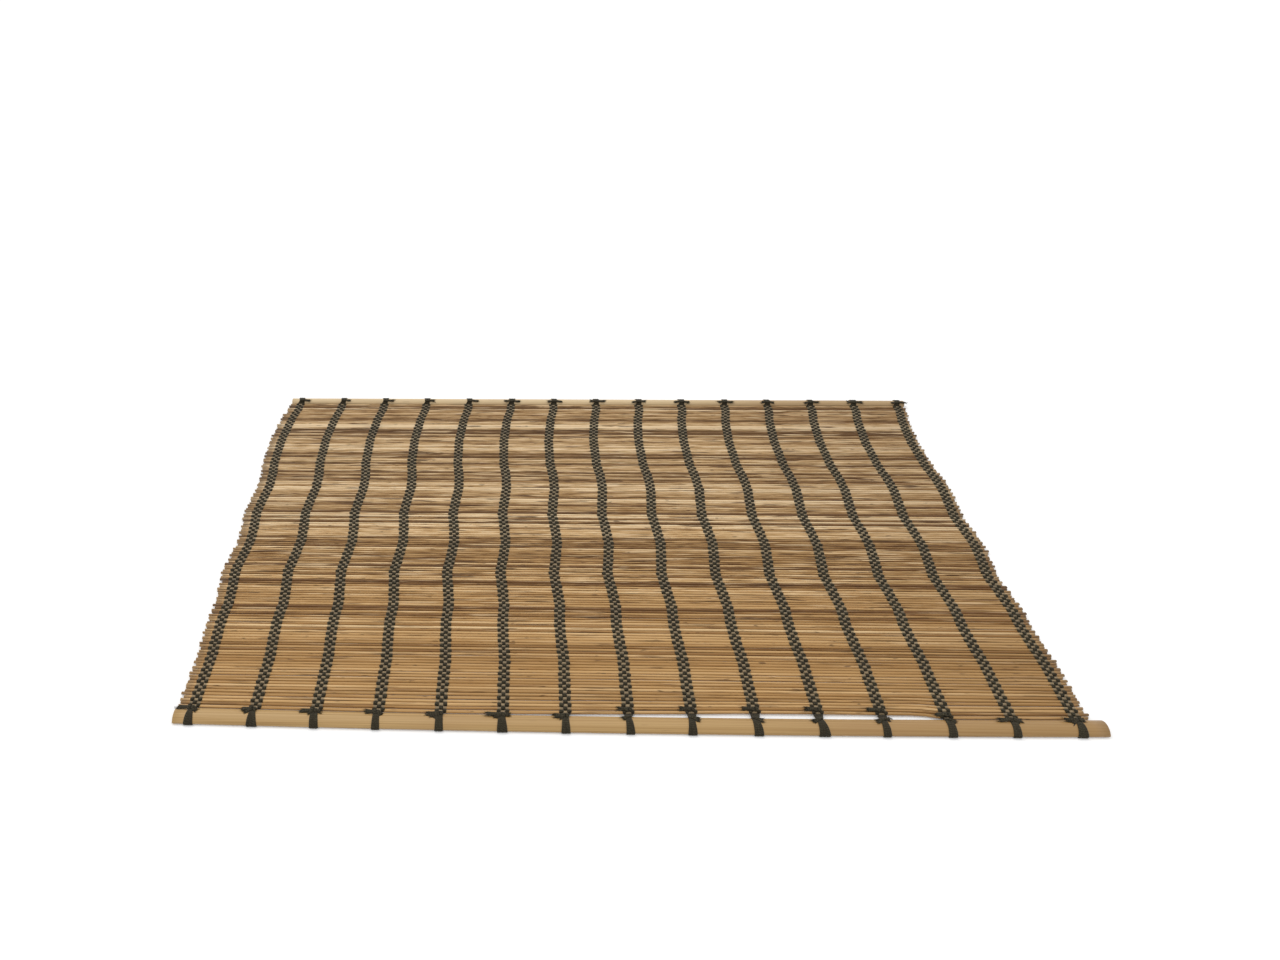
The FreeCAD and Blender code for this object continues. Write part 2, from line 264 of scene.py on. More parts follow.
class Surface:
    """A node material with a principled shader and short ways to add nodes."""

    def __init__(self, name):
        self.material = bpy.data.materials.new(name)
        self.material.use_nodes = True
        self.tree = self.material.node_tree
        self.shader = self.tree.nodes["Principled BSDF"]

    def put(self, socket, value):
        if isinstance(value, bpy.types.NodeSocket):
            self.tree.links.new(value, socket)
        else:
            socket.default_value = value

    def node(self, kind, **settings):
        made = self.tree.nodes.new(kind)
        for name, value in settings.items():
            setattr(made, name, value)
        return made

    def attribute(self, name):
        return self.node("ShaderNodeAttribute", attribute_name=name).outputs["Fac"]

    def place(self, scale=(1.0, 1.0, 1.0)):
        """Object coordinates, stretched by a scale in waves per metre."""
        mapping = self.node("ShaderNodeMapping")
        self.put(mapping.inputs["Vector"], self.node("ShaderNodeTexCoord").outputs["Object"])
        mapping.inputs["Scale"].default_value = scale
        return mapping.outputs["Vector"]

    def part(self, vector, axis):
        split = self.node("ShaderNodeSeparateXYZ")
        self.put(split.inputs["Vector"], vector)
        return split.outputs[axis]

    def noise(self, texture):
        made = self.node("ShaderNodeTexNoise")
        self.put(made.inputs["Vector"], self.place(texture.scale))
        made.inputs["Scale"].default_value = 1.0
        made.inputs["Detail"].default_value = texture.detail
        made.inputs["Roughness"].default_value = texture.rough
        return made.outputs["Fac"]

    def math(self, operation, first, second=0.0, third=0.0):
        made = self.node("ShaderNodeMath", operation=operation)
        for socket, value in zip(made.inputs, (first, second, third)):
            self.put(socket, value)
        return made.outputs["Value"]

    def between(self, share, first, second):
        """A number that goes from the first to the second as the share goes from zero to one."""
        return self.math("MULTIPLY_ADD", self.math("SUBTRACT", second, first), share, first)

    def span(self, value, span):
        made = self.node("ShaderNodeMapRange", interpolation_type="SMOOTHSTEP")
        names = ("Value", "From Min", "From Max", "To Min", "To Max")
        for name, limit in zip(names, (value, *span)):
            self.put(made.inputs[name], limit)
        return made.outputs["Result"]

    def ramp(self, value, stops):
        made = self.node("ShaderNodeValToRGB")
        self.put(made.inputs["Fac"], value)
        elements = made.color_ramp.elements
        while len(elements) < len(stops):
            elements.new(MIDDLE)
        for element, (position, shade) in zip(elements, stops):
            element.position = position
            element.color = shade
        return made.outputs["Color"]

    def mix(self, share, first, second):
        made = self.node("ShaderNodeMix", data_type="RGBA")
        below, above = [socket for socket in made.inputs if socket.type == "RGBA"]
        for socket, value in ((made.inputs["Factor"], share), (below, first), (above, second)):
            self.put(socket, value)
        return next(socket for socket in made.outputs if socket.type == "RGBA")

    def layer(self, base, layer, fading=None):
        """A layer over the base, thinner where the fading, if one is given, is low."""
        share = self.span(self.noise(layer.texture), layer.cover)
        if fading is not None:
            share = self.math("MULTIPLY", share, fading)
        return self.mix(share, base, layer.shade)

    def bump(self, height, relief):
        made = self.node("ShaderNodeBump")
        self.put(made.inputs["Height"], height)
        made.inputs["Strength"].default_value = relief.strength
        made.inputs["Distance"].default_value = relief.distance
        self.put(self.shader.inputs["Normal"], made.outputs["Normal"])

    def finish(self, base, rough):
        self.put(self.shader.inputs["Base Color"], base)
        self.put(self.shader.inputs["Roughness"], rough)
        return self.material


# Reeds. The stops are the shades of a fibre from dark to pale, on the golden front and the faded rear.
GOLDEN_STOPS = (
    (0.12, colour(112, 74, 32)),
    (0.36, colour(168, 126, 73)),
    (0.52, colour(193, 152, 97)),
    (0.68, colour(210, 171, 117)),
    (0.90, colour(238, 206, 156)),
)
FADED_STOPS = (
    (0.12, colour(98, 67, 33)),
    (0.36, colour(156, 120, 76)),
    (0.52, colour(185, 150, 103)),
    (0.68, colour(207, 174, 128)),
    (0.90, colour(238, 212, 172)),
)
FADED_DEPTHS = Span(-0.11, 0.07)
BROKEN_DEPTHS = Span(-0.125, -0.02)
# Painted shade: the reeds turn darker and browner towards the right.
SHADED_RIGHT = Span(0.05, 0.21, 0.0, 0.25)
SHADED_REED = colour(112, 78, 40)
LONG_FIBRE = Texture((18.0, 900.0, 900.0), 4.0, 0.6)
SHORT_FIBRE = Texture((60.0, 1000.0, 1000.0), 4.0, 0.65)
TONE_WEIGHT = 0.7
FIBRE_CONTRAST = Span(0.0, 1.0, 0.65, 1.5)
# Painted shade: broad darker patches, standing in for the shade of the mat's gentle waves.
REED_RIPPLE_SHADE = Layer(Texture((4.0, 26.0, 26.0), 1.0), Span(0.5, 0.72, 0.0, 0.22), colour(142, 107, 64))
PALE_STREAKS = Layer(Texture((22.0, 640.0, 640.0), 2.0), Span(0.59, 0.66), colour(232, 202, 158))
PALE_FADING = Span(0.0, 1.0, 0.2, 0.7)
DARK_STREAKS = Layer(Texture((28.0, 600.0, 600.0), 3.0, 0.55), Span(0.58, 0.65), colour(82, 52, 22))
DARK_FADING = Span(0.0, 1.0, 0.45, 0.85)
REED_FLECKS = Layer(Texture((150.0, 900.0, 900.0), 1.0), Span(0.69, 0.77, 0.0, 0.65), colour(74, 46, 22))
# Beside the bands the reeds turn greyer.
FROM_BAND = Span(2.3, 3.3, 0.72, 0.0)
BAND_GREY = colour(128, 119, 98)
FROM_MIDDLE = Span(217.0, 221.0, 0.0, 0.4)
GREY_END = colour(126, 108, 88)
REED_GRAIN = Texture((40.0, 2600.0, 2600.0), 3.0)
REED_RELIEF = Relief(0.35, 0.0002)
REED_SPECULAR = 0.3
REED_ROUGHNESS = Span(-0.2, 0.2, 0.62, 0.46)


def reed_material():
    """Dry reed: golden at the front, faded and streaked further back, dull at the bands and the ends, with
    painted shade in broad patches and towards the right.
    """
    surface = Surface("dry_reed")
    place = surface.place()
    faded = surface.span(surface.part(place, "Y"), FADED_DEPTHS)
    broken = surface.span(surface.part(place, "Y"), BROKEN_DEPTHS)
    shaded = surface.span(surface.part(place, "X"), SHADED_RIGHT)
    beside = surface.attribute("beside")
    tone = surface.math("SUBTRACT", surface.attribute("tone"), MIDDLE)
    either_fibre = surface.between(broken, surface.noise(LONG_FIBRE), surface.noise(SHORT_FIBRE))
    fibre = surface.math("SUBTRACT", either_fibre, MIDDLE)
    variety = surface.math("MULTIPLY_ADD", tone, TONE_WEIGHT, fibre)
    shade = surface.math("MULTIPLY_ADD", variety, surface.span(broken, FIBRE_CONTRAST), MIDDLE)
    base = surface.mix(faded, surface.ramp(shade, GOLDEN_STOPS), surface.ramp(shade, FADED_STOPS))
    # Painted shade in broad patches, for the mat's gentle waves.
    base = surface.layer(base, REED_RIPPLE_SHADE)
    # Painted shade towards the right.
    base = surface.mix(shaded, base, SHADED_REED)
    base = surface.layer(base, PALE_STREAKS, surface.span(broken, PALE_FADING))
    base = surface.layer(base, DARK_STREAKS, surface.span(broken, DARK_FADING))
    base = surface.layer(base, REED_FLECKS)
    # The reeds greyer beside the bands.
    from_band = surface.math("PINGPONG", beside, BAND_SPACING / 2)
    base = surface.mix(surface.span(from_band, FROM_BAND), base, BAND_GREY)
    from_middle = surface.math("ABSOLUTE", beside)
    base = surface.mix(surface.span(from_middle, FROM_MIDDLE), base, GREY_END)
    surface.bump(surface.noise(REED_GRAIN), REED_RELIEF)
    surface.shader.inputs["Specular IOR Level"].default_value = REED_SPECULAR
    return surface.finish(base, surface.span(fibre, REED_ROUGHNESS))


# Battens
BAMBOO_STOPS = (
    (0.25, colour(152, 116, 64)),
    (0.5, colour(180, 144, 90)),
    (0.75, colour(200, 167, 112)),
)
BAMBOO_GRAIN = Texture((5.0, 1400.0, 1400.0), 4.0, 0.6)
BAMBOO_PALE = Span(0.5, 1.0, 0.0, 0.7)
PALE_BAMBOO = colour(228, 205, 164)
# Painted shade: the batten turns darker and browner towards the right.
BAMBOO_SHADE_RIGHT = Span(0.0, 200.0, 0.0, 0.55)
SHADED_BAMBOO = colour(144, 107, 60)
BAMBOO_CLOUDS = Layer(Texture((14.0, 60.0, 60.0), 2.0), Span(0.45, 0.7, 0.0, 0.35), colour(164, 126, 80))
BAMBOO_FLECKS = Layer(Texture((90.0, 1500.0, 1500.0), 1.0), Span(0.72, 0.8, 0.0, 0.4), colour(120, 86, 48))
BAMBOO_RELIEF = Relief(0.25, 0.0002)
BAMBOO_ROUGHNESS = Span(0.3, 0.7, 0.52, 0.4)


def bamboo_material():
    """Split bamboo: tan with fine straight grain, with painted shade that makes it browner towards the
    right. The tone makes a batten paler.
    """
    surface = Surface("split_bamboo")
    grain = surface.noise(BAMBOO_GRAIN)
    base = surface.ramp(grain, BAMBOO_STOPS)
    base = surface.mix(surface.span(surface.attribute("tone"), BAMBOO_PALE), base, PALE_BAMBOO)
    # Painted shade towards the right.
    base = surface.mix(surface.span(surface.attribute("beside"), BAMBOO_SHADE_RIGHT), base, SHADED_BAMBOO)
    base = surface.layer(base, BAMBOO_CLOUDS)
    base = surface.layer(base, BAMBOO_FLECKS)
    surface.bump(grain, BAMBOO_RELIEF)
    return surface.finish(base, surface.span(grain, BAMBOO_ROUGHNESS))


# Yarn
YARN_STOPS = (
    (0.25, colour(32, 29, 19)),
    (0.5, colour(53, 48, 34)),
    (0.8, colour(88, 82, 65)),
)
YARN_PLIES = 2.0
TURNS_PER_MM = 0.9
YARN_FUZZ = Texture((2200.0, 2200.0, 2200.0), 3.0, 0.7)
# Painted shade: how much paler the plies' crowns and darker the grooves between them are painted.
PLY_PAINTED_SHADE = 0.1
PLY_HEIGHT = 0.5
YARN_WORN = Span(0.0, 1.0, 0.0, 0.4)
WORN_YARN = colour(46, 38, 28)
YARN_RELIEF = Relief(0.5, 0.0001)
YARN_SHEEN = 0.08
YARN_SHEEN_ROUGHNESS = 0.5
YARN_SPECULAR = 0.15
YARN_ROUGHNESS = Span(0.3, 0.7, 0.95, 0.8)


def yarn_material():
    """Dark green-grey cotton of two plies twisted together, flecked with lint all over, and painted paler on
    the plies' crowns and darker in the grooves between them, as light and shade.
    """
    surface = Surface("dark_cotton_yarn")
    winding = surface.node("ShaderNodeUVMap", uv_map=WINDING_MAP).outputs["UV"]
    around = surface.math("MULTIPLY", surface.part(winding, "Y"), YARN_PLIES)
    lay = surface.math("MULTIPLY_ADD", surface.part(winding, "X"), TURNS_PER_MM, around)
    ply = surface.math("SINE", surface.math("MULTIPLY", lay, 2 * math.pi))
    fuzz = surface.noise(YARN_FUZZ)
    # Painted shade and highlight: paler on the plies' crowns, darker in the grooves.
    base = surface.ramp(surface.math("MULTIPLY_ADD", ply, PLY_PAINTED_SHADE, fuzz), YARN_STOPS)
    base = surface.mix(surface.span(surface.attribute("tone"), YARN_WORN), base, WORN_YARN)
    surface.bump(surface.math("MULTIPLY_ADD", ply, PLY_HEIGHT, fuzz), YARN_RELIEF)
    surface.shader.inputs["Sheen Weight"].default_value = YARN_SHEEN
    surface.shader.inputs["Sheen Roughness"].default_value = YARN_SHEEN_ROUGHNESS
    surface.shader.inputs["Specular IOR Level"].default_value = YARN_SPECULAR
    return surface.finish(base, surface.span(fuzz, YARN_ROUGHNESS))


reed_surface = reed_material()
bamboo_surface = bamboo_material()
yarn_surface = yarn_material()


# Lines that several pieces share
HALF_LENGTH = (cad_high[0] - cad_low[0]) / MM / 2
SLIT_LEFT = -95.0
SLIT_LEFT_FADE = 150.0
SLIT_RIGHT = 151.0
SLIT_RIGHT_FADE = 11.0
SLIT_PUSH = 0.7
SLIT_PUSH_WHOLE = 100.0
SIDE_NUDGE = 0.35
LEFT_REACH = 2.5
FRONT_RIGHT_REACH = 1.3
REAR_RIGHT_REACH = -0.5

# How far the weave of each group, from front to rear, wanders to the right of the solids
WEAVE_WAVES = np.array(
    [-0.4, -0.4, -0.1, -0.6, -0.7, -0.2, -0.8, -1.1, -0.4, -0.1, -0.9]
    + [-1.7, -0.9, -0.3, -1.3, -2.3, -1.8, -1.9, -1.5, -1.3, -0.3]
)


def group_lines():
    """Middle of each group from front to rear, and how far its bands lie to the right."""
    middles = []
    shifts = []
    for group in range(GROUPS):
        low, high = box_of(f"warp_cords_{group + 1:02d}")
        middles.append((low[1] + high[1]) / 2)
        shifts.append((low[0] + high[0]) / 2)
    return np.array(middles), np.array(shifts)


group_middles, group_shifts = group_lines()
group_depth = REED_PITCH * REEDS_PER_GROUP
field_front = group_middles[0] - group_depth / 2


def wave_at(depth):
    """How far the weave lies to the right of the solids at a depth of the mat."""
    return np.interp(depth, group_middles, WEAVE_WAVES)


def drift_at(depth):
    """How far the bands lie to the right at a depth of the mat, run smoothly from group to group."""
    return np.interp(depth, group_middles, group_shifts) + wave_at(depth)


def band_at(band, depth):
    """Where a band lies from left to right at a depth of the mat."""
    return BAND_SPACING * (band - (BANDS - 1) / 2) + drift_at(depth)


def bow_at(across, bow):
    """How far a bowed batten's line lies behind its foremost point."""
    return bow * (across / HALF_LENGTH) ** 2


def closing_at(across):
    """How far the first reed leans towards the bowed batten. A slit stays open right of the middle."""
    into_slit = np.clip((across - SLIT_LEFT) / SLIT_LEFT_FADE, 0.0, 1.0)
    out_of_slit = np.clip((SLIT_RIGHT - across) / SLIT_RIGHT_FADE, 0.0, 1.0)
    opened = np.minimum(into_slit, out_of_slit)
    pushed = SLIT_PUSH * opened * np.clip(across / SLIT_PUSH_WHOLE, 0.0, 1.0)
    return (1.0 - opened) * (SIDE_NUDGE + BATTEN_BOW - bow_at(across, BATTEN_BOW)) - pushed


def lean_at(across, depth):
    """Lean of the first group towards the front batten, gone at that group's rear."""
    share = 1.0 - (depth - field_front) / group_depth
    return -closing_at(across) * np.clip(share, 0.0, 1.0)


# Woven field: reeds and the yarns that go over and under them, one pair of pieces for each group
GROUP_SEED = 100
REED_RINGS = 64
REED_SIDES = 10
REED_WIDTH_SHARES = (0.78, 1.06)
REED_WIDTH_WAVE = Wave(0.04, 80.0)
REED_HEIGHT_SHARES = (0.88, 1.0)
REED_HEIGHT_WAVE = Wave(0.03, 150.0)
REED_LINE_WAVE = Wave(0.03, 240.0)
REED_LEVEL_WAVE = Wave(0.05, 210.0)
REED_LIFT = 0.06
REED_TILT = 14.0
REED_CORNER_SHARES = (-0.07, 0.02)
REED_TONE_SPREAD = 0.22
END_CUT = 0.35
END_CUT_TURN = 6.0
YARN_STEPS = 6
YARN_SIDES = 6
YARN_COLUMNS = (-1, 0, 1)
YARN_RISE_SHARE = 0.8
YARN_ARCH_POWER = 0.85
YARN_THIN_SHARE = 0.6
YARN_THICKENING_SHARE = 0.4
YARN_NARROW_SHARE = 0.7
YARN_WIDENING_SHARE = 0.3
YARN_WIDTH_SHARES = (0.9, 1.05)
YARN_WIDTH_WAVE = Wave(0.08, 5.0)
YARN_SIDE_WAVE = Wave(0.2, 8.0)
HINGE_CLEARANCE = 0.03
HINGE_HALF_THICKNESS = 0.08
HINGE_TILT = 20.5
SIDEWAYS = (1.0, 0.0, 0.0)


def end_cut(chance, angles):
    """How far each corner of a stem's end is cut back."""
    return chance.uniform(0.0, END_CUT) * (1 + np.cos(angles + chance.uniform(0.0, END_CUT_TURN)))


def add_reed(shape, chance, left, right, middle_y, middle_z, at_hinge):
    """One dry stem, a little uneven in its width and line, with ends cut not quite square."""
    along = np.linspace(left, right, REED_RINGS)
    widest = HINGE_REED_HALF_WIDTH if at_hinge else REED_HALF_WIDTH * chance.uniform(*REED_WIDTH_SHARES)
    width = widest * (1.0 + gentle(chance, along, REED_WIDTH_WAVE) - REED_WIDTH_WAVE.size)
    if middle_y < field_front + group_depth:
        width = width * (1.0 + closing_at(along) / group_depth)
    height = chance.uniform(*REED_HEIGHT_SHARES) + gentle(chance, along, REED_HEIGHT_WAVE)
    height = REED_HALF_HEIGHT * height
    line_y = middle_y + gentle(chance, along, REED_LINE_WAVE) + lean_at(along, middle_y)
    line_z = middle_z + gentle(chance, along, REED_LEVEL_WAVE) + chance.uniform(-REED_LIFT, REED_LIFT)
    angles = ring_angles(REED_SIDES)
    uneven = 1.0 + chance.uniform(*REED_CORNER_SHARES, REED_SIDES)
    tilt = 0.0 if at_hinge else math.radians(chance.uniform(-REED_TILT, REED_TILT))
    flat_y = np.cos(angles) * uneven * width[:, None]
    flat_z = np.sin(angles) * uneven * height[:, None]
    rings = np.zeros((REED_RINGS, REED_SIDES, 3))
    rings[:, :, 0] = along[:, None]
    rings[:, :, 1] = line_y[:, None] + flat_y * math.cos(tilt) - flat_z * math.sin(tilt)
    rings[:, :, 2] = line_z[:, None] + flat_y * math.sin(tilt) + flat_z * math.cos(tilt)
    rings[0, :, 0] += end_cut(chance, angles)
    rings[-1, :, 0] -= end_cut(chance, angles)
    tone = float(np.clip(chance.normal(MIDDLE, REED_TONE_SPREAD), 0.0, 1.0))
    shape.tube(rings, tone, drift_at(middle_y))


def yarn_path(first_y, middle_z, first_side):
    """Path of a yarn over and under one group's reeds, upright where it passes between two reeds."""
    rise = REED_HALF_HEIGHT + YARN_HALF_THICKNESS * YARN_RISE_SHARE
    places = []
    levels = []
    for reed in range(REEDS_PER_GROUP):
        side = first_side if reed % 2 == 0 else -first_side
        steps = YARN_STEPS + (1 if reed == REEDS_PER_GROUP - 1 else 0)
        for step in range(steps):
            turn = math.pi * step / YARN_STEPS
            places.append(first_y + REED_PITCH * (reed + (1 - math.cos(turn)) / 2))
            levels.append(middle_z + side * rise * math.sin(turn) ** YARN_ARCH_POWER)
    return np.array(places), np.array(levels)


def clear_of_hinges(places, levels, half_thickness, first_y, middle_z):
    """Places drawn in at both ends of a group, so that the next group can tilt without touching the yarn."""
    above = np.clip(levels - middle_z, 0.0, None)
    tilt = math.radians(HINGE_TILT)
    room = above * math.tan(tilt) + half_thickness / math.cos(tilt) + HINGE_CLEARANCE
    return np.clip(places, first_y + room, first_y + group_depth - room)


def add_yarn(shape, chance, across, first_y, middle_z, first_side):
    """One yarn through a group. Across is its place beside the middle band, before the bands' drift."""
    places, levels = yarn_path(first_y, middle_z, first_side)
    over = np.abs(levels - middle_z) / np.abs(levels - middle_z).max()
    half_thickness = YARN_HALF_THICKNESS * (YARN_THIN_SHARE + YARN_THICKENING_SHARE * over)
    half_thickness[[0, -1]] = HINGE_HALF_THICKNESS
    places = clear_of_hinges(places, levels, half_thickness, first_y, middle_z)
    sideways = across + drift_at(places) + gentle(chance, places, YARN_SIDE_WAVE)
    path = np.column_stack([sideways, places + lean_at(sideways, places), levels])
    uneven = chance.uniform(*YARN_WIDTH_SHARES) + gentle(chance, places, YARN_WIDTH_WAVE)
    half_width = YARN_HALF_WIDTH * uneven * (YARN_NARROW_SHARE + YARN_WIDENING_SHARE * over)
    rings = swept(path, SIDEWAYS, half_width, half_thickness, YARN_SIDES)
    shape.tube(rings, tone=chance.uniform(0.0, 1.0))


def build_group(group):
    """One group's reeds as a piece and its yarns as another. The first group carries the slit's knots."""
    reeds_node = f"reeds_{group + 1:02d}"
    cords_node = f"warp_cords_{group + 1:02d}"
    body = f"group_{group + 1:02d}"
    chance = np.random.default_rng(GROUP_SEED + group)
    reed_low, reed_high = box_of(reeds_node)
    middle_z = (reed_low[2] + reed_high[2]) / 2
    first_y = group_middles[group] - group_depth / 2
    corners = points_of(reeds_node)
    right_reach = np.interp(group, (0, GROUPS - 1), (FRONT_RIGHT_REACH, REAR_RIGHT_REACH))
    reeds = Shape()
    for reed in range(REEDS_PER_GROUP):
        middle_y = first_y + REED_PITCH * (reed + MIDDLE)
        own = corners[np.abs(corners[:, 1] - middle_y) < REED_PITCH / 2][:, 0]
        left = own.min() + wave_at(middle_y) - LEFT_REACH
        right = own.max() + wave_at(middle_y) + right_reach
        at_hinge = reed in (0, REEDS_PER_GROUP - 1)
        add_reed(reeds, chance, left, right, middle_y, middle_z, at_hinge)
    reeds.piece(f"dry_{reeds_node}", reed_surface, reeds_node, body)
    yarns = Shape()
    for band in range(BANDS):
        for column in YARN_COLUMNS:
            number = group * REEDS_PER_GROUP + (1 if column == 0 else 0)
            first_side = 1 if number % 2 == 0 else -1
            across = BAND_SPACING * (band - (BANDS - 1) / 2) + column * YARN_SPACING
            add_yarn(yarns, chance, across, first_y, middle_z, first_side)
    if group == 0:
        tie_slit_knots(yarns, first_y, middle_z + REED_HALF_HEIGHT)
    yarns.piece(f"woven_{cords_node}", yarn_surface, cords_node, body)


# Battens: half-round split bamboo with softened edges
FRONT_BATTEN_SEED = 11
REAR_BATTEN_SEED = 12
FRONT_BATTEN_TONE = 0.5
REAR_BATTEN_TONE = 0.95
BATTEN_RINGS = 60
BATTEN_SWELL = Wave(0.015, 160.0)
CROWN_STEPS = 14
SOFT_EDGE = 0.2


def batten_outline(width, grow=0.0):
    """Half-round outline as (across, up) from the middle of the batten's foot."""
    rise = BATTEN_HEIGHT - BATTEN_EDGE
    radius = ((width / 2) ** 2 + rise**2) / (2 * rise)
    centre = BATTEN_HEIGHT - radius
    half = width / 2 + grow
    lean = math.asin(half / (radius + grow))
    corners = [
        (-half, SOFT_EDGE - grow),
        (SOFT_EDGE - half, -grow),
        (0.0, -grow),
        (half - SOFT_EDGE, -grow),
        (half, SOFT_EDGE - grow),
    ]
    for turn in np.linspace(lean, -lean, CROWN_STEPS):
        corners.append(((radius + grow) * math.sin(turn), centre + (radius + grow) * math.cos(turn)))
    return np.array(corners)


def build_batten(node, body, width, bow, tone, seed):
    chance = np.random.default_rng(seed)
    low, high = box_of(node)
    along = np.linspace(low[0], high[0], BATTEN_RINGS)
    outline = batten_outline(width)
    line = low[1] + width / 2 + bow_at(along, bow)
    swell = 1.0 + gentle(chance, along, BATTEN_SWELL)
    rings = np.zeros((BATTEN_RINGS, len(outline), 3))
    rings[:, :, 0] = along[:, None]
    rings[:, :, 1] = line[:, None] + outline[None, :, 0]
    rings[:, :, 2] = low[2] + outline[None, :, 1] * swell[:, None]
    shape = Shape()
    shape.tube(rings, tone=tone)
    shape.piece(f"bamboo_{node}", bamboo_surface, node, body)


# Cord ends: yarns looped round the batten, a knot beside it and frayed tails.
# Knots are counted from the left, from zero. A tail's side and slant are as for the front edge: how far it
# heads to the right and to the rear.
FRONT_KNOT_SEED = 21
REAR_KNOT_SEED = 22
SLIT_KNOT_SEED = 23
SLIT_KNOTS = range(7, 13)
BUNCHED_KNOT = 4
RIGHT_TAIL_KNOTS = (2, 5, 8, 11, 13, 14)
FIRST_TWO_SIDED_KNOT = 5
FOOT_LEVEL = 0.01
LOOP_STEPS = 24
LOOP_SIDES = 7
LOOP_HALF_WIDTH = 0.92
LOOP_EASE = 0.04
LOOP_SLANTS = (-0.9, 0.4)
LOOP_FLARE_SHARES = (0.1, 0.4)
LOOP_GATHER_SHARES = (0.38, 0.58)
LOOP_WANDER = 0.08
NECK_STEPS = 7
NECK_BEND_SHARE = 0.3
NECK_CREST = 0.4
NECK_REACH = 1.6
NECK_LEVELS = (0.7, 1.2, 2.0, 2.9)
KNOT_SLIP = 0.3
KNOT_INSET = 1.5
KNOT_RISE = 0.15
SLIT_KNOT_SETBACK = 1.95
SLIT_KNOT_RISE = 0.45
COIL_STEPS = 18
COIL_TURNS = 1.15
COIL_HALF_WIDTH = 0.8
COIL_HALF_THICKNESS = 0.42
COIL_REACHES = (0.8, 1.1)
COIL_SIDE_SHARE = 0.75
COIL_SWAY_SHARE = 0.4
COIL_SWAY_RATE = 0.9
COIL_DEPTH = 0.95
COIL_RISE = 0.5
TAIL_STEPS = 7
TAIL_STRANDS = 3
TAIL_START = 1.5
TAIL_LIFT = 0.25
TAIL_SPREAD = 0.5
TAIL_SPREAD_SHARES = (0.6, 1.1, 1.7)
TAIL_DROPS = (-0.5, 0.2)
TAIL_DROP_SHARE = 0.3
TAIL_LENGTH_SHARES = (0.85, 1.1)
STRAND_HALF_WIDTH = 0.6
STRAND_TAPER_SHARES = (1.1, 0.85)
STRAND_FLAT_SHARE = 0.75
FRAY_FIBRES = 7
FIBRE_SIDES = 4
FIBRE_HALF_WIDTHS = np.array([0.13, 0.10, 0.03])
FIBRE_WIDE = (0.0, 0.3, 1.0)
FIBRE_SPREAD = 0.45
FIBRE_SPREAD_SHARES = (1.0, 1.0, 0.5)
FIBRE_ROOT = 0.3
FIBRE_SCATTER = 0.18
FIBRE_STRAIGHT = 0.4
FIBRE_LENGTHS = (0.5, 1.2)
FIBRE_BEND = 0.1

# How much of the way to the band, and of the yarns' spacing, a neck keeps at each of its points
NECK_SHARES = ((1.0, 0.75), (0.8, 0.6), (0.4, 0.45), (0.0, 0.4))

# A drawn tail leaves its knot to one side, with a slant and a length drawn from these ranges
TailRange = namedtuple("TailRange", "side slants lengths")
SLIT_TAIL = TailRange(-1.0, (0.06, 0.16), (3.2, 5.0))
LONG_TAIL = TailRange(-1.0, (-0.05, 0.2), (3.6, 5.6))
RIGHT_TAIL = TailRange(1.0, (-0.3, 0.1), (1.2, 2.2))
REAR_TAIL = TailRange(-1.0, (-0.1, 0.2), (2.6, 4.2))
OTHER_REAR_TAIL = TailRange(1.0, (-0.1, 0.2), (2.0, 3.4))
SHORT_TAIL_SIDE = 0.9
SHORT_TAIL_SLANT = -0.45
SHORT_TAIL_LENGTHS = (1.2, 2.6)
BUNCHED_TAILS = (((-1.0, -0.3), 3.0), ((-0.8, -0.8), 2.4))


